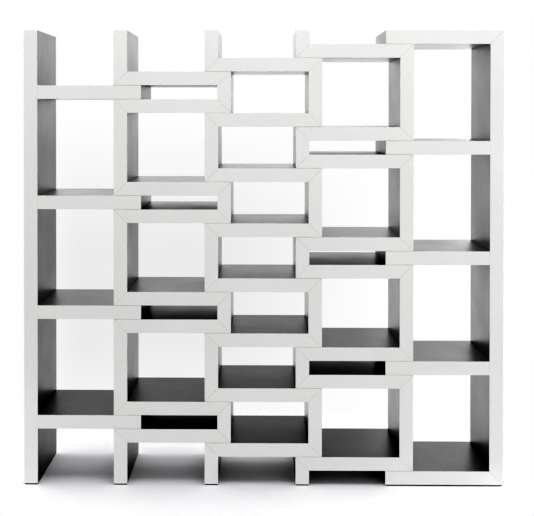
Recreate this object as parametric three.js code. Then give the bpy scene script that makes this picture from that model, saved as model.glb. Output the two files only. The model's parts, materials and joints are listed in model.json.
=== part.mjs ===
// An expanding bookcase of five upright sections that nest in each other and slide sideways.
// Every section is a row of thick boards folded into a zigzag, which runs right and back left round the
// boards of its left-hand neighbour. So the leftmost section is a side panel with shelves, the middle ones
// are zigzags on a leg, and the rightmost is an open frame.
// Millimetres, +Z up, the front of the bookcase faces -Y, and the origin lies on the floor, in the middle
// of the bookcase as it stands pulled out.
import * as THREE from "three";

// Boards
const boardThickness = 62;
const depth = 350; // from front edge to back edge
const edgeChamfer = 0.6; // breaks the front and back edge of every board
const glueLine = 0.3; // between two pieces that are glued together

// Sections, from left to right
const sectionWidth = 535; // over its left upright and its loops
const slidingGap = 0.75; // between the boards of neighbouring sections
const uprightLap = 4; // pulled right out, a left upright stands this far over its neighbour's right ones
const loopCount = 4; // how often each section runs right and back left
const pulledOutShares = [0.985, 1, 1, 0.982]; // how far each pair of neighbours is pulled apart

// Felt glides
const glideHeight = 6; // from the floor to the board above
const glideInset = 5; // back from the edges of the board above

// Heights go in steps of one board and one sliding gap. Step 0 is the base board of the rightmost section.
const step = boardThickness + slidingGap;
const lastSection = pulledOutShares.length;
const stepsPerLoop = 2 * lastSection;
const topStep = loopCount * stepsPerLoop;
const middleHeight = (steps) => glideHeight + steps * step + boardThickness / 2;
const overallHeight = middleHeight(topStep) + boardThickness / 2;

// A section that is pushed right in stands one step to the right of its left-hand neighbour.
const fullTravel = sectionWidth - 2 * boardThickness + uprightLap - step;
const sectionLeft = [0];
for (const share of pulledOutShares) {
  sectionLeft.push(sectionLeft.at(-1) + step + share * fullTravel);
}
const overallWidth = sectionLeft.at(-1) + sectionWidth;

// Middle lines of a section's left and right uprights
const leftLine = boardThickness / 2;
const rightLine = sectionWidth - boardThickness / 2;

const finish = (color, roughness) => new THREE.MeshStandardMaterial({ color, roughness, metalness: 0 });
const whiteEdge = () => finish(0xe8e8e5, 0.5);
const darkLaminate = () => finish(0x2a2a29, 0.35);
const blackFelt = () => finish(0x191919, 0.95);

// The outline of the boards between two corners of a folded path, mitred wherever the path folds.
// The path runs along the middle of the boards, in the plane of the front, x to the right and y up.
function boardOutline(path, first, last) {
  const direction = (i) => path[i + 1].clone().sub(path[i]).normalize();
  const sideways = (along) => new THREE.Vector2(-along.y, along.x).multiplyScalar(boardThickness / 2);
  const setback = (glueLine / 2) * Math.SQRT2; // along the board, at a glued mitre
  const leftSide = [];
  const rightSide = [];
  for (let i = first; i <= last; i++) {
    const isEnd = i === 0 || i === path.length - 1;
    const before = direction(Math.max(i - 1, 0));
    const after = direction(Math.min(i, path.length - 2));
    const side = isEnd ? sideways(before) : sideways(before).add(sideways(after));
    const middle = path[i].clone();
    if (!isEnd && i === first) middle.addScaledVector(after, setback);
    if (!isEnd && i === last) middle.addScaledVector(before, -setback);
    leftSide.push(middle.clone().add(side));
    rightSide.push(middle.clone().sub(side));
  }
  return [...rightSide, ...leftSide.reverse()];
}

// A board: its outline carried from front to back, with chamfered front and back edges.
// The front and back are banded white, and every other face is dark laminate.
function board(name, outline) {
  const geometry = new THREE.ExtrudeGeometry(new THREE.Shape(outline), {
    depth: depth - 2 * edgeChamfer,
    bevelThickness: edgeChamfer,
    bevelSize: edgeChamfer,
    bevelOffset: -edgeChamfer,
    bevelSegments: 1,
  });
  geometry.translate(0, 0, edgeChamfer - depth / 2).rotateX(Math.PI / 2);
  const mesh = new THREE.Mesh(geometry, [whiteEdge(), darkLaminate()]);
  mesh.name = name;
  return mesh;
}

// A board with square ends, between the two ends of its middle line
function squareBoard(name, start, end) {
  return board(name, boardOutline([new THREE.Vector2(...start), new THREE.Vector2(...end)], 0, 1));
}

// A felt glide under a board that stands on the floor and reaches from left to right
function glide(name, left, right) {
  const width = right - left - 2 * glideInset;
  const height = glideHeight - glueLine;
  const geometry = new THREE.BoxGeometry(width, depth - 2 * glideInset, height);
  const mesh = new THREE.Mesh(geometry, blackFelt());
  mesh.position.set((left + right) / 2, 0, height / 2);
  mesh.name = name;
  return mesh;
}

// The leftmost section: a side panel, with a shelf for each loop of its neighbour to run round
function leftEndSection(name) {
  const section = new THREE.Group();
  section.add(glide(`${name}_glide`, 0, boardThickness));
  section.add(squareBoard(`${name}_side_panel`, [leftLine, glideHeight], [leftLine, overallHeight]));
  for (let loop = 0; loop < loopCount; loop++) {
    const height = middleHeight(loop * stepsPerLoop + lastSection);
    const start = [boardThickness + glueLine, height];
    section.add(squareBoard(`${name}_shelf_${loop + 1}`, start, [sectionWidth, height]));
  }
  return section;
}

// A middle section: each of its loops reaches so many steps above and below the leftmost section's shelf.
// Where an upright is only one gap high, it is one piece with the board under it.
function zigzagSection(name, reach) {
  const path = [new THREE.Vector2(leftLine, glideHeight)];
  for (let loop = 0; loop < loopCount; loop++) {
    const shelf = loop * stepsPerLoop + lastSection;
    const low = middleHeight(shelf - reach);
    const high = middleHeight(shelf + reach);
    path.push(new THREE.Vector2(leftLine, low), new THREE.Vector2(rightLine, low));
    path.push(new THREE.Vector2(rightLine, high), new THREE.Vector2(leftLine, high));
  }
  path.push(new THREE.Vector2(leftLine, overallHeight));

  const section = new THREE.Group();
  const addPiece = (piece, first, last) => {
    section.add(board(`${name}_${piece}`, boardOutline(path, first, last)));
  };
  const shortRightPosts = reach === 1;
  const shortLeftPosts = lastSection - reach === 1;
  const cornersPerLoop = (path.length - 2) / loopCount;
  section.add(glide(`${name}_glide`, 0, boardThickness));
  addPiece("leg", 0, 1);
  for (let loop = 1; loop <= loopCount; loop++) {
    const highLeft = cornersPerLoop * loop; // the loop's last corner on the path
    const [lowLeft, lowRight, highRight] = [highLeft - 3, highLeft - 2, highLeft - 1];
    const nextLeft = highLeft + 1;
    const isTopLoop = loop === loopCount;
    if (shortRightPosts) {
      addPiece(`lower_board_and_post_${loop}`, lowLeft, highRight);
    } else {
      addPiece(`lower_board_${loop}`, lowLeft, lowRight);
      addPiece(`right_post_${loop}`, lowRight, highRight);
    }
    if (shortLeftPosts && !isTopLoop) {
      addPiece(`upper_board_and_post_${loop}`, highRight, nextLeft);
    } else {
      addPiece(`upper_board_${loop}`, highRight, highLeft);
      addPiece(isTopLoop ? "top_fin" : `left_post_${loop}`, highLeft, nextLeft);
    }
  }
  return section;
}

// The rightmost section: base, side panel and top mitred together, with shelves between base and top
function rightEndSection(name) {
  const bottom = middleHeight(0);
  const top = middleHeight(topStep);
  const path = [new THREE.Vector2(0, bottom), new THREE.Vector2(rightLine, bottom)];
  path.push(new THREE.Vector2(rightLine, top), new THREE.Vector2(0, top));

  const section = new THREE.Group();
  section.add(glide(`${name}_glide`, 0, sectionWidth));
  for (const [i, piece] of ["base_board", "side_panel", "top_board"].entries()) {
    section.add(board(`${name}_${piece}`, boardOutline(path, i, i + 1)));
  }
  for (let loop = 1; loop < loopCount; loop++) {
    const height = middleHeight(loop * stepsPerLoop);
    const end = [sectionWidth - boardThickness - glueLine, height];
    section.add(squareBoard(`${name}_shelf_${loop}`, [0, height], end));
  }
  return section;
}

const bookcase = new THREE.Group();
for (const [i, left] of sectionLeft.entries()) {
  let section = zigzagSection(`zigzag_${i}`, i);
  if (i === 0) section = leftEndSection("left_end");
  if (i === lastSection) section = rightEndSection("right_end");
  section.position.x = left - overallWidth / 2;
  bookcase.add(section);
}

export default bookcase;
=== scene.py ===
import json
import math

import bpy
import numpy as np
from mathutils import Euler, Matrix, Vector

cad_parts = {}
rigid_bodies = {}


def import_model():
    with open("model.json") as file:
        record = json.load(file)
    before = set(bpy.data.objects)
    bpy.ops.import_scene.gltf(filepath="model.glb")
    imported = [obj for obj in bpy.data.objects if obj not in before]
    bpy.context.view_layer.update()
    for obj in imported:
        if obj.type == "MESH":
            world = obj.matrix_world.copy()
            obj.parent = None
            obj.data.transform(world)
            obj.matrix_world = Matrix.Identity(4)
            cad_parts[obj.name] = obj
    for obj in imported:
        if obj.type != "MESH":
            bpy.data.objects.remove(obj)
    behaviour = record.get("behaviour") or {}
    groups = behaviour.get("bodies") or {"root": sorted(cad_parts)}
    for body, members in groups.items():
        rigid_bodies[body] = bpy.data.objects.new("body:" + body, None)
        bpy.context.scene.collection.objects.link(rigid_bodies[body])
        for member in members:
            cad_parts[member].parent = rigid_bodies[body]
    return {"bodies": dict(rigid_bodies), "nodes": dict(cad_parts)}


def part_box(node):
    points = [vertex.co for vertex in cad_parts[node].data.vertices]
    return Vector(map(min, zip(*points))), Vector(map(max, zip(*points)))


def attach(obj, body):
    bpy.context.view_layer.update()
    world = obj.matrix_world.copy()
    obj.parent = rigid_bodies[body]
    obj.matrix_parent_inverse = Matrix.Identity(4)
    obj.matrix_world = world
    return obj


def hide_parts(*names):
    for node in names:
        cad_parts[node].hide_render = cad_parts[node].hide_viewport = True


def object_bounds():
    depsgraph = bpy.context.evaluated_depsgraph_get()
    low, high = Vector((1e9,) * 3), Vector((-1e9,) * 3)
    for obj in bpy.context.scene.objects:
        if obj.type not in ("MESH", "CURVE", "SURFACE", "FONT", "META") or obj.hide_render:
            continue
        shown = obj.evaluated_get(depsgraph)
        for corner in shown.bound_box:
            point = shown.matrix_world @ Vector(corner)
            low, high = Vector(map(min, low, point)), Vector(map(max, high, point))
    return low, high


# An expanding bookcase: five sections of thick boards, with dark laminate on the faces and a white band
# along every front and back edge. Lengths are in metres, and places are worked out from the frame's boxes.

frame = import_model()
cadLow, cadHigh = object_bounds()


# Sizes read off the frame

panelLow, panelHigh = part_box("left_end_side_panel")
boardThickness = panelHigh.x - panelLow.x
frontY, backY = panelLow.y, panelHigh.y
floorGap = panelLow.z
overallHeight = panelHigh.z
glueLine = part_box("left_end_shelf_1")[0].x - panelHigh.x
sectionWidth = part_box("left_end_shelf_1")[1].x - panelLow.x
overallWidth = cadHigh.x - cadLow.x
loopCount = 4
stepsPerLoop = 8
topStep = loopCount * stepsPerLoop
baseLow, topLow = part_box("right_end_base_board")[0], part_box("right_end_top_board")[0]
step = (topLow.z - baseLow.z) / topStep  # from one board level to the next
sectionLeft = [panelLow.x] + [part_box(f"zigzag_{i}_leg")[0].x for i in (1, 2, 3)] + [baseLow.x]


def middleHeight(steps):
    return floorGap + steps * step + boardThickness / 2


# Nodes

def addNode(tree, kind, inputs=(), **settings):
    # a node with its settings, each input set to a value or linked to a socket
    node = tree.nodes.new(kind)
    for label, value in settings.items():
        setattr(node, label, value)
    for key, value in dict(inputs).items():
        if isinstance(value, bpy.types.NodeSocket):
            tree.links.new(value, node.inputs[key])
        else:
            node.inputs[key].default_value = value
    return node


def calculate(tree, operation, *values):
    return addNode(tree, "ShaderNodeMath", enumerate(values), operation=operation).outputs[0]


def remap(tree, value, fromRange, toRange):
    low, high = fromRange
    places = {"Value": value, "From Min": low, "From Max": high, "To Min": toRange[0], "To Max": toRange[1]}
    return addNode(tree, "ShaderNodeMapRange", places).outputs[0]


def mixColour(tree, mask, first, second):
    # of the Mix node's sockets, 0 is the factor, 6 and 7 are the two colours, and 2 is the colour it gives
    places = {0: mask, 6: (*first, 1) if isinstance(first, tuple) else first, 7: (*second, 1)}
    return addNode(tree, "ShaderNodeMix", places, data_type="RGBA").outputs[2]


def newGroup(name, inputs, outputs):
    # a node group whose inputs are numbers with a default, or vectors where that is None
    group = bpy.data.node_groups.new(name, "ShaderNodeTree")
    for label, value in inputs.items():
        kind = "NodeSocketVector" if value is None else "NodeSocketFloat"
        socket = group.interface.new_socket(name=label, in_out="INPUT", socket_type=kind)
        if value is not None:
            socket.default_value = value
    for label in outputs:
        group.interface.new_socket(name=label, in_out="OUTPUT", socket_type="NodeSocketFloat")
    source, sink = group.nodes.new("NodeGroupInput"), group.nodes.new("NodeGroupOutput")
    return group, source.outputs, sink.inputs


def useGroup(tree, group, **inputs):
    return addNode(tree, "ShaderNodeGroup", inputs, node_tree=group).outputs


def addNoise(tree, place, scale, detail):
    return addNode(tree, "ShaderNodeTexNoise", {"Vector": place, "Scale": scale, "Detail": detail}).outputs[0]


effects = {  # the detail of each noise, and the range of it that is stretched to go from nothing to full
    "grainDetail": 3,
    "patchDetail": 4,
    "patchRange": (0.3, 0.7),
    "rubDetail": 6,
    "rubRange": (0.45, 0.62),
    "dustDetail": 8,
    "dustRange": (0.35, 0.75),
    "dustSlope": (0.6, 1.0),  # the upward part of a face's normal, from no dust to all of it
}

# Fine grain: a close noise for the height of a surface, and a broad one for patches of it
grainInputs = {"Vector": None, "Fine": 900, "Broad": 4}
grainGroup, given, result = newGroup("fineGrain", grainInputs, ["Height", "Patches"])
fine = addNoise(grainGroup, given["Vector"], given["Fine"], effects["grainDetail"])
broad = addNoise(grainGroup, given["Vector"], given["Broad"], effects["patchDetail"])
grainGroup.links.new(fine, result["Height"])
grainGroup.links.new(remap(grainGroup, broad, effects["patchRange"], (0, 1)), result["Patches"])

# Edge wear: the rounded corners, where a noise says that they are rubbed
wearInputs = {"Vector": None, "Edge": 0, "Scale": 25, "Amount": 0.5}
wearGroup, given, result = newGroup("edgeWear", wearInputs, ["Mask"])
rubbed = addNoise(wearGroup, given["Vector"], given["Scale"], effects["rubDetail"])
rubbedHere = remap(wearGroup, rubbed, effects["rubRange"], (0, 1))
onEdge = calculate(wearGroup, "MULTIPLY", given["Edge"], rubbedHere)
wearGroup.links.new(calculate(wearGroup, "MULTIPLY", onEdge, given["Amount"]), result["Mask"])

# Dust: on faces that look up, thicker in some places than in others
dustInputs = {"Vector": None, "Scale": 30, "Amount": 0.2}
dustGroup, given, result = newGroup("settledDust", dustInputs, ["Mask"])
normal = addNode(dustGroup, "ShaderNodeNewGeometry").outputs["Normal"]
upward = addNode(dustGroup, "ShaderNodeSeparateXYZ", {0: normal}).outputs["Z"]
lookingUp = remap(dustGroup, upward, effects["dustSlope"], (0, 1))
specks = addNoise(dustGroup, given["Vector"], given["Scale"], effects["dustDetail"])
lying = calculate(dustGroup, "MULTIPLY", lookingUp, remap(dustGroup, specks, effects["dustRange"], (0, 1)))
dustGroup.links.new(calculate(dustGroup, "MULTIPLY", lying, given["Amount"]), result["Mask"])


# Finishes

def newMaterial(name):
    material = bpy.data.materials.new(name)
    material.use_nodes = True
    tree = material.node_tree
    surface = tree.nodes["Principled BSDF"]
    place = addNode(tree, "ShaderNodeTexCoord").outputs["Object"]
    return material, tree, surface, place


def readMask(tree, name):
    return addNode(tree, "ShaderNodeAttribute", attribute_name=name).outputs["Fac"]


def setBump(tree, surface, height, strength, distance):
    bump = addNode(tree, "ShaderNodeBump", {"Height": height, "Strength": strength, "Distance": distance})
    tree.links.new(bump.outputs[0], surface.inputs["Normal"])


whiteFinish = {  # the scales here and below are noise cells to the metre
    "colour": (0.81, 0.815, 0.802),
    "patchColour": (0.777, 0.783, 0.770),
    # the worn colour darkens the band's rounded corners: partly rubbed edges, partly painted shade along the
    # seams between boards
    "wearColour": (0.32, 0.31, 0.29),
    "coreAndJointShadeColour": (0.045, 0.042, 0.038),  # near black, partly the strip's dark core and partly painted shade in the mitre joints
    "roughness": (0.40, 0.50),  # from the plain parts to the patches
    "grainScale": 700,
    "patchScale": 3,
    "wear": 0.8,
    "wearScale": 18,
    "bump": (0.06, 0.0002),  # strength, and height in metres
}


def whiteBandMaterial():
    look = whiteFinish
    material, tree, surface, place = newMaterial("whiteBand")
    edge, cut = readMask(tree, "edge"), readMask(tree, "cut")
    grain = useGroup(tree, grainGroup, Vector=place, Fine=look["grainScale"], Broad=look["patchScale"])
    worn = useGroup(tree, wearGroup, Vector=place, Edge=edge, Scale=look["wearScale"], Amount=look["wear"])
    colour = mixColour(tree, grain["Patches"], look["colour"], look["patchColour"])
    # darker rounded corners: partly wear, partly painted shade in the seams between boards
    colour = mixColour(tree, worn["Mask"], colour, look["wearColour"])
    # the mitred ends near black: partly the strip's core, partly painted shade in the joint
    tree.links.new(mixColour(tree, cut, colour, look["coreAndJointShadeColour"]), surface.inputs["Base Color"])
    roughness = remap(tree, grain["Patches"], (0, 1), look["roughness"])
    tree.links.new(roughness, surface.inputs["Roughness"])
    setBump(tree, surface, grain["Height"], *look["bump"])
    return material


darkFinish = {
    "colour": (0.0205, 0.0205, 0.0195),
    "patchColour": (0.025, 0.025, 0.0235),
    "wearColour": (0.16, 0.15, 0.14),
    "dustColour": (0.30, 0.29, 0.27),
    "roughness": (0.35, 0.41),
    "grainScale": 1600,
    "patchScale": 5,
    "wear": 0.5,
    "wearScale": 30,
    "dust": 0.05,
    "dustScale": 40,
    "bump": (0.05, 0.0001),
}


def darkLaminateMaterial():
    look = darkFinish
    material, tree, surface, place = newMaterial("darkLaminate")
    edge = readMask(tree, "edge")
    grain = useGroup(tree, grainGroup, Vector=place, Fine=look["grainScale"], Broad=look["patchScale"])
    worn = useGroup(tree, wearGroup, Vector=place, Edge=edge, Scale=look["wearScale"], Amount=look["wear"])
    dust = useGroup(tree, dustGroup, Vector=place, Scale=look["dustScale"], Amount=look["dust"])
    colour = mixColour(tree, grain["Patches"], look["colour"], look["patchColour"])
    colour = mixColour(tree, worn["Mask"], colour, look["wearColour"])
    tree.links.new(mixColour(tree, dust["Mask"], colour, look["dustColour"]), surface.inputs["Base Color"])
    roughness = remap(tree, grain["Patches"], (0, 1), look["roughness"])
    tree.links.new(roughness, surface.inputs["Roughness"])
    setBump(tree, surface, grain["Height"], *look["bump"])
    return material


feltFinish = {
    "colour": (0.006, 0.006, 0.006),
    "fibreColour": (0.022, 0.021, 0.020),
    "fibreScale": 1500,
    "tuftScale": 120,
    "roughness": 0.95,
    "specular": 0.1,
    "sheen": 0.03,
    "bump": (0.8, 0.0006),
}


def blackFeltMaterial():
    look = feltFinish
    material, tree, surface, place = newMaterial("blackFelt")
    grain = useGroup(tree, grainGroup, Vector=place, Fine=look["fibreScale"], Broad=look["tuftScale"])
    colour = mixColour(tree, grain["Height"], look["colour"], look["fibreColour"])
    tree.links.new(colour, surface.inputs["Base Color"])
    surface.inputs["Roughness"].default_value = look["roughness"]
    surface.inputs["Specular IOR Level"].default_value = look["specular"]
    surface.inputs["Sheen Weight"].default_value = look["sheen"]
    setBump(tree, surface, calculate(tree, "ADD", grain["Height"], grain["Patches"]), *look["bump"])
    return material


whiteBand = whiteBandMaterial()
darkLaminate = darkLaminateMaterial()
blackFelt = blackFeltMaterial()
print("finishes made")


# Shapes

cornerPoints = 4


def roundedRectangle(low, high, radii):
    # Walked round once from the corner at low: centre + radius * (cos, sin), a quarter turn at each corner.
    # low and high have their two coordinates on the last axis, and radii the four corners.
    sides = np.array([[0, 0], [1, 0], [1, 1], [0, 1]])
    corner = np.where(sides == 1, high[..., None, :], low[..., None, :])
    centre = corner + np.where(sides == 1, -1, 1) * radii[..., None]
    angle = np.pi * (1 + np.arange(4) / 2)[:, None] + np.linspace(0, np.pi / 2, cornerPoints)
    circle = np.stack([np.cos(angle), np.sin(angle)], axis=-1)
    outline = centre[..., None, :] + radii[..., None, None] * circle
    return outline.reshape(*outline.shape[:-3], -1, 2)


def tubeFaces(rows, columns):
    # quads between neighbouring rings of a tube, then the lids of its first and last ring
    row = np.arange(rows - 1)[:, None] * columns
    here = np.arange(columns)[None, :]
    there = (here + 1) % columns
    quads = np.stack([row + here, row + columns + here, row + columns + there, row + there], axis=-1)
    lids = [list(range(columns)), list(range((rows - 1) * columns, rows * columns))[::-1]]
    return quads.reshape(-1, 4).tolist() + lids


def addPiece(name, body, vertices, faces, smooth, material, slot, **masks):
    # an object on its body, with a point attribute for each mask that its material reads
    mesh = bpy.data.meshes.new(name)
    mesh.from_pydata(vertices.reshape(-1, 3).tolist(), [], faces)
    mesh.polygons.foreach_set("use_smooth", smooth)
    for label, mask in masks.items():
        attribute = mesh.attributes.new(label, "FLOAT", "POINT")
        attribute.data.foreach_set("value", mask.ravel().astype(np.float32))
    mesh.materials.append(material)
    piece = bpy.data.objects.new(name, mesh)
    bpy.context.scene.collection.objects.link(piece)
    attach(piece, body)
    return piece


def barAlong(path, i, ySpan, radii, rounding):
    # A rounded rectangle carried from corner i of a path to corner i + 1. At a fold the bar is cut on the
    # plane that halves it, lengthwise = skew * across, and at a free end square. The last rings draw in by
    # rounding * (1 - sin) and stand rounding * (1 - cos) off the cut, over a quarter turn. The corners of
    # these rings get tighter as they draw in, down to a quarter of their radius.
    runs = np.diff(path, axis=0)
    along = runs / np.linalg.norm(runs, axis=1, keepdims=True)
    across = np.stack([-along[:, 1], along[:, 0]], axis=1)
    length = np.linalg.norm(runs[i])
    startSkew = across[i - 1] @ along[i] if i > 0 else 0
    endSkew = across[i + 1] @ along[i] if i < len(along) - 1 else 0
    setback = glueLine / 2 * math.sqrt(2)  # half a glue line, measured along the board of a 45 degree cut

    turn = np.linspace(0, np.pi / 2, cornerPoints)
    inset = np.concatenate([1 - np.sin(turn), 1 - np.cos(turn)])[:, None] * rounding
    advance = np.concatenate([1 - np.cos(turn), 1 - np.sin(turn)])[:, None] * rounding
    low = np.array([-boardThickness / 2, ySpan[0]]) + inset
    high = np.array([boardThickness / 2, ySpan[1]]) - inset
    radii = np.array(radii)
    profile = roundedRectangle(low, high, np.maximum(radii - inset, radii / 4))
    fromStart = startSkew * profile[..., 0] + abs(startSkew) * setback + advance
    fromEnd = length + endSkew * profile[..., 0] - abs(endSkew) * setback - advance
    lengthwise = np.where(np.arange(len(inset))[:, None] < cornerPoints, fromStart, fromEnd)

    plane = path[i] + lengthwise[..., None] * along[i] + profile[..., :1] * across[i]
    vertices = np.stack([plane[..., 0], profile[..., 1], plane[..., 1]], axis=-1)
    rows, columns = lengthwise.shape
    flatColumn = np.arange(columns) % cornerPoints == cornerPoints - 1
    flatRow = np.arange(rows - 1) == cornerPoints - 1
    smooth = np.append(~(flatRow[:, None] & flatColumn), [False, False])
    onCorner = np.tile(np.sin(2 * turn), 4)
    onEnd = np.concatenate([np.sin(2 * turn)] * 2)[:, None]
    edge = np.maximum(onCorner, onEnd)  # 1 in the middle of a rounded corner, 0 on the flats
    ring = np.arange(rows)
    atStart = (ring < cornerPoints - 1) & (startSkew != 0)
    atEnd = (ring > cornerPoints) & (endSkew != 0)
    cut = np.broadcast_to((atStart | atEnd)[:, None], edge.shape)  # 1 on a mitred end and its rim, which the bands colour near black: partly their core, partly painted shade in the joint
    return vertices, tubeFaces(rows, columns), smooth, {"edge": edge, "cut": cut}


board = {
    "bandThickness": 0.0010,  # the white strip along the front and back edges
    "bandRounding": 0.0007,  # its two outer corners
    "bandEndRounding": 0.00014,  # where the band is cut
    "endRounding": 0.0004,  # where the laminate is cut
    "glueGroove": 0.00018,  # the fine line between band and laminate
    "bandGap": 0.00004,  # between the two, inside that line
}


def addBoard(name, node, body, path, i):
    # the board at run i of a path, as a core and two bands, in place of the frame's node
    band, groove, gap = board["bandThickness"], board["glueGroove"], board["bandGap"]
    outer, bandEnd = board["bandRounding"], board["bandEndRounding"]
    core = barAlong(path, i, (frontY + band, backY - band), [groove] * 4, board["endRounding"])
    front = barAlong(path, i, (frontY, frontY + band - gap), [outer, outer, groove, groove], bandEnd)
    back = barAlong(path, i, (backY - band + gap, backY), [groove, groove, outer, outer], bandEnd)
    for part, (vertices, faces, smooth, masks), material, slot in [
        ("board", core, darkLaminate, "dark_laminate"),
        ("front_band", front, whiteBand, "white_edge"),
        ("back_band", back, whiteBand, "white_edge"),
    ]:
        piece = addPiece(f"{name}_{part}", body, vertices, faces, smooth, material, slot, **masks)
        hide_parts(node)


# The five sections, each a path along the middle of its boards

def addLeftEnd():
    body = "left_end"
    middle = sectionLeft[0] + boardThickness / 2
    panelPath = np.array([[middle, floorGap], [middle, overallHeight]])
    addBoard("left_end_side_panel", "left_end_side_panel", body, panelPath, 0)
    for loop in range(loopCount):
        height = middleHeight(loop * stepsPerLoop + stepsPerLoop / 2)
        start = sectionLeft[0] + boardThickness + glueLine
        name = f"left_end_shelf_{loop + 1}"
        addBoard(name, name, body, np.array([[start, height], [sectionLeft[0] + sectionWidth, height]]), 0)


def addZigzag(reach):
    # reach is how many levels under and over each of the left end's shelves its boards lie
    body = f"zigzag_{reach}"
    left = sectionLeft[reach] + boardThickness / 2
    right = sectionLeft[reach] + sectionWidth - boardThickness / 2
    path = [(left, floorGap)]
    names = ["leg"]
    for loop in range(loopCount):
        shelf = loop * stepsPerLoop + stepsPerLoop / 2
        low, high = middleHeight(shelf - reach), middleHeight(shelf + reach)
        path += [(left, low), (right, low), (right, high), (left, high)]
        names += [f"{part}_{loop + 1}" for part in ("lower_board", "right_post", "upper_board", "left_post")]
    path.append((left, overallHeight))
    names[-1] = "top_fin"  # which the last left post is
    for i, name in enumerate(names):
        node = f"{body}_{name}"
        if node not in frame["nodes"]:  # a short post is one node with the board under it
            under = "lower" if "right_post" in name or "lower" in name else "upper"
            node = f"{body}_{under}_board_and_post_{name[-1]}"
        addBoard(f"{body}_{name}", node, body, np.array(path), i)


def addRightEnd():
    body = "right_end"
    left, right = sectionLeft[-1], sectionLeft[-1] + sectionWidth
    low, high = middleHeight(0), middleHeight(topStep)
    middle = right - boardThickness / 2
    path = np.array([[left, low], [middle, low], [middle, high], [left, high]])
    for i, part in enumerate(["base_board", "side_panel", "top_board"]):
        addBoard(f"{body}_{part}", f"{body}_{part}", body, path, i)
    for loop in range(1, loopCount):
        height = middleHeight(loop * stepsPerLoop)
        name = f"{body}_shelf_{loop}"
        end = right - boardThickness - glueLine
        addBoard(name, name, body, np.array([[left, height], [end, height]]), 0)


addLeftEnd()
for reach in (1, 2, 3):
    addZigzag(reach)
addRightEnd()


# Felt glides

felt = {
    "cornerRadius": 0.004,
    "spread": 0.0035,  # how far the weight has pressed the felt out sideways
    "bulge": 0.0006,
    "rings": 9,
}


def addGlide(node, body):
    # A pad pressed flat: at height share h its outline stands bulge * (1 - (2h - 1)^2) out of the lid's.
    low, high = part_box(node)
    share = np.linspace(0, 1, felt["rings"])
    drawnIn = felt["bulge"] * (2 * share - 1) ** 2 - felt["spread"]
    corners = roundedRectangle(
        np.array([low.x, low.y]) + drawnIn[:, None],
        np.array([high.x, high.y]) - drawnIn[:, None],
        np.full((len(share), 4), felt["cornerRadius"]),
    )
    top = floorGap - board["bandGap"]
    heights = np.broadcast_to((low.z + share * (top - low.z))[:, None, None], corners[..., :1].shape)
    vertices = np.concatenate([corners, heights], axis=-1)[::-1]
    faces = tubeFaces(*vertices.shape[:2])
    smooth = [True] * (len(faces) - 2) + [False, False]
    piece = addPiece(f"{body}_felt", body, vertices, faces, smooth, blackFelt, "black_felt")
    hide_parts(node)


for body in frame["bodies"]:
    addGlide(f"{body}_glide", body)
print("glides made")


# Studio

studio = {
    "floorColour": (0.88, 0.885, 0.90),
    "floorRoughness": 0.9,
    "floorSpecular": 0.1,
    "floorMargin": 0.7,  # the paper goes this far beyond the bookcase on every side
    "floorFade": (0.015, 0.6),  # and has faded out this far from it, sideways and in depth
    "blackPoint": 0.24,  # the share of the picture's brightness that goes to black
    "gamma": 2.2,
    "curvePoints": 9,
}

backdrop = {  # brightness of the white surround
    "behind": 1.13,
    "behindMatt": (0.1, 1.85),  # for matt surfaces, low down and higher up, or the rear bands burn out
    "front": 0.79,
    "frontAbove": 0.55,
    "top": 0.6,
    "below": 1.67,
    "belowLeft": 2.5,
    "paintedShadow": 0.125,  # a painted shadow of the bookcase: the camera sees this much less than white, low down behind the left half
}

backdropAngles = {  # the degrees of elevation or azimuth over which one brightness turns into the next
    "behindToTop": (32, 50),
    "mattLowToHigh": (6, 22),
    "belowToBehind": (-10, -6),
    "belowLeftToRight": (-22, -8),
    "frontToAbove": (-2, 2),
    "behindToFront": (75, 105),
    "paintedShadowLeft": (-16.5, -12.5),
    "paintedShadowRight": (-2, 8),
    "paintedShadowBottom": (-22, -15.5),
    "paintedShadowTop": (-9, 0),
}

softboxes = {  # place, aim and size in metres, power in watts
    "overheadFront": ((0, -1.3, 4.2), (0, 0, 0.5), (4.5, 1.0), 66),
    "overheadBack": ((0, 2.8, 3.8), (0, 0, 1.0), (4.5, 1.2), 34),
    "lowRight": ((2.8, -4.0, 0.7), (0.5, 0, 0.7), (1.5, 1.0), 26),
    "sideLeft": ((-4.0, 0.2, 1.8), (0, 0, 1.0), (2.0, 2.5), 57),
    "sideRight": ((4.0, 0.2, 1.8), (0, 0, 1.0), (2.0, 2.5), 188),
    "kickLeft": ((-1.6, -0.6, 0.1), (-1.06, -0.175, 0.15), (0.5, 0.2), 1.0),
    "kickRight": ((1.6, -0.6, 0.1), (1.06, -0.175, 0.15), (0.5, 0.2), 0.4),
    "wallMiddle": ((-0.35, 1.5, 1.3), (-0.35, 0, 1.3), (2.1, 0.5), 2.1),
    "wallHigh": ((-0.35, 1.5, 1.8), (-0.35, 0, 1.8), (2.1, 0.5), 3.6),
    "wallTop": ((-0.35, 1.5, 2.3), (-0.35, 0, 2.3), (2.1, 0.5), 5.0),
    "wallHighLeft": ((-1.75, 1.5, 2.05), (-1.75, 0, 2.05), (0.7, 1.0), 6),
    "wallCentreRight": ((1.05, 1.5, 1.05), (1.05, 0, 1.05), (0.7, 2.0), 4.8),
    "wallRight": ((1.75, 1.5, 0.6), (1.75, 0, 0.6), (0.7, 1.1), 5.0),
    "wallHighRight": ((1.75, 1.5, 2.05), (1.75, 0, 2.05), (0.7, 1.0), 27),
}


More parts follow.
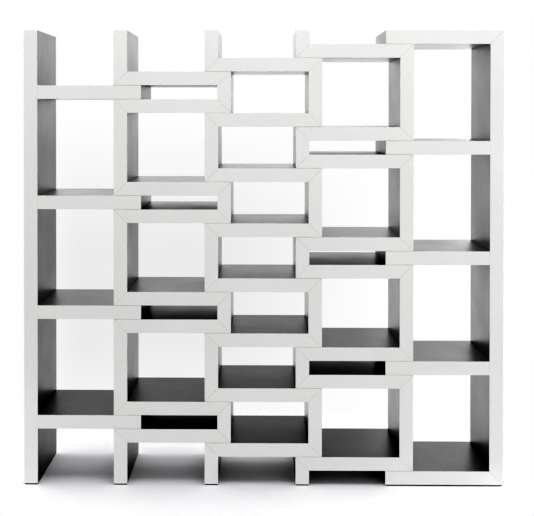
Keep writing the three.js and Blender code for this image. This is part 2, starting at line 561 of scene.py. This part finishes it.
def addFloor():
    # White paper under the bookcase. Outside the bookcase's outline it fades into the white surround.
    halfWidth, halfDepth = overallWidth / 2, (backY - frontY) / 2
    x, y = halfWidth + studio["floorMargin"], halfDepth + studio["floorMargin"]
    mesh = bpy.data.meshes.new("floor")
    mesh.from_pydata([(-x, -y, 0), (x, -y, 0), (x, y, 0), (-x, y, 0)], [], [(0, 1, 2, 3)])
    material, tree, surface, place = newMaterial("paleFloor")
    surface.inputs["Base Color"].default_value = (*studio["floorColour"], 1)
    surface.inputs["Roughness"].default_value = studio["floorRoughness"]
    surface.inputs["Specular IOR Level"].default_value = studio["floorSpecular"]
    away = addNode(tree, "ShaderNodeVectorMath", {0: place}, operation="ABSOLUTE").outputs[0]
    for operation, value in [
        ("SUBTRACT", (halfWidth, halfDepth, 0)),
        ("MAXIMUM", (0, 0, 0)),
        ("DIVIDE", (*studio["floorFade"], 1)),
    ]:
        away = addNode(tree, "ShaderNodeVectorMath", {0: away, 1: value}, operation=operation).outputs[0]
    distance = addNode(tree, "ShaderNodeVectorMath", {0: away}, operation="LENGTH").outputs["Value"]
    tree.links.new(remap(tree, distance, (0, 1), (1, 0)), surface.inputs["Alpha"])
    mesh.materials.append(material)
    floor = bpy.data.objects.new("floor", mesh)
    bpy.context.scene.collection.objects.link(floor)


def addBackdrop():
    # The surround, by elevation and azimuth. Azimuth 0 is straight behind the bookcase, and left is negative.
    # The camera sees white with a painted shadow of the bookcase low down behind the left half, whatever the
    # surround gives as light.
    world = bpy.data.worlds.new("studio")
    bpy.context.scene.world = world
    world.use_nodes = True
    tree = world.node_tree
    tree.nodes.clear()
    direction = addNode(tree, "ShaderNodeTexCoord").outputs["Generated"]
    x, y, z = addNode(tree, "ShaderNodeSeparateXYZ", {0: direction}).outputs
    elevation = calculate(tree, "ARCSINE", z)
    azimuth = calculate(tree, "ARCTAN2", x, y)

    def ramp(angle, span, first, second):  # from the first brightness to the second, over the span's degrees
        start, end = backdropAngles[span]
        return remap(tree, angle, (math.radians(start), math.radians(end)), (first, second))

    above = ramp(elevation, "behindToTop", backdrop["behind"], backdrop["top"])
    below = ramp(azimuth, "belowLeftToRight", backdrop["belowLeft"], backdrop["below"])
    behind = ramp(elevation, "belowToBehind", below, above)
    matt = ramp(elevation, "mattLowToHigh", *backdrop["behindMatt"])
    matt = ramp(elevation, "behindToTop", matt, backdrop["top"])
    rays = addNode(tree, "ShaderNodeLightPath").outputs
    behind = remap(tree, rays["Is Diffuse Ray"], (0, 1), (behind, matt))
    front = ramp(elevation, "frontToAbove", backdrop["front"], backdrop["frontAbove"])
    front = ramp(elevation, "behindToTop", front, backdrop["top"])
    glow = ramp(calculate(tree, "ABSOLUTE", azimuth), "behindToFront", behind, front)
    lit = addNode(tree, "ShaderNodeBackground", {"Color": (1, 1, 1, 1), "Strength": glow})

    # a painted shadow on the white the camera sees, where the bookcase's shadow would fall behind its left
    # half
    across = calculate(tree, "MINIMUM", ramp(azimuth, "paintedShadowLeft", 0, 1), ramp(azimuth, "paintedShadowRight", 1, 0))
    upward = calculate(tree, "MINIMUM", ramp(elevation, "paintedShadowBottom", 0, 1), ramp(elevation, "paintedShadowTop", 1, 0))
    white = remap(tree, calculate(tree, "MULTIPLY", across, upward), (0, 1), (1, 1 - backdrop["paintedShadow"]))
    seen = addNode(tree, "ShaderNodeBackground", {"Color": (1, 1, 1, 1), "Strength": white})
    sources = {0: rays["Is Camera Ray"], 1: lit.outputs[0], 2: seen.outputs[0]}
    mixed = addNode(tree, "ShaderNodeMixShader", sources)
    addNode(tree, "ShaderNodeOutputWorld", {"Surface": mixed.outputs[0]})


def addSoftbox(name, place, aim, size, power):
    lamp = bpy.data.lights.new(name, "AREA")
    lamp.shape = "RECTANGLE"
    lamp.size, lamp.size_y = size
    lamp.energy = power
    softbox = bpy.data.objects.new(name, lamp)
    softbox.location = place
    softbox.rotation_euler = (Vector(aim) - Vector(place)).to_track_quat("-Z", "Y").to_euler()
    softbox.visible_camera = False
    softbox.visible_diffuse = not name.startswith("wall")  # those only give the laminate its reflections
    bpy.context.scene.collection.objects.link(softbox)


def setContrast():
    # levels: shown = (shown - blackPoint) / (1 - blackPoint), drawn as a curve over linear light
    settings = bpy.context.scene.view_settings
    settings.view_transform = "Standard"
    settings.use_curve_mapping = True
    curves = settings.curve_mapping
    combined = curves.curves[3]  # after those of red, green and blue
    black, gamma = studio["blackPoint"], studio["gamma"]
    shown = np.linspace(black, 1, studio["curvePoints"])
    for before, after in zip(shown**gamma, ((shown - black) / (1 - black)) ** gamma):
        combined.points.new(before, after)
    curves.update()


addFloor()
addBackdrop()
for name, (place, aim, size, power) in softboxes.items():
    addSoftbox(name, place, aim, size, power)
setContrast()
print("studio lit")


# Camera: looks along Y from a standing height, with the frame shifted down rather than the lens tipped

view = {
    "place": (-0.0046, -3.9833, 1.7052),
    "pitch": -0.0096,  # radians
    "yaw": 0.0081,
    "roll": -0.0008,
    "lens": 56.49,  # millimetres, as is the sensor
    "sensorWidth": 36,
    "shift": (0.0215, -0.2586),
}


def addCamera():
    lens = bpy.data.cameras.new("camera")
    lens.sensor_width = view["sensorWidth"]
    lens.lens = view["lens"]
    lens.shift_x, lens.shift_y = view["shift"]
    camera = bpy.data.objects.new("camera", lens)
    bpy.context.scene.collection.objects.link(camera)
    level = Euler((view["pitch"] + math.pi / 2, 0, view["yaw"])).to_matrix()
    camera.rotation_euler = (level @ Euler((0, 0, -view["roll"])).to_matrix()).to_euler()
    camera.location = view["place"]
    bpy.context.scene.camera = camera


addCamera()
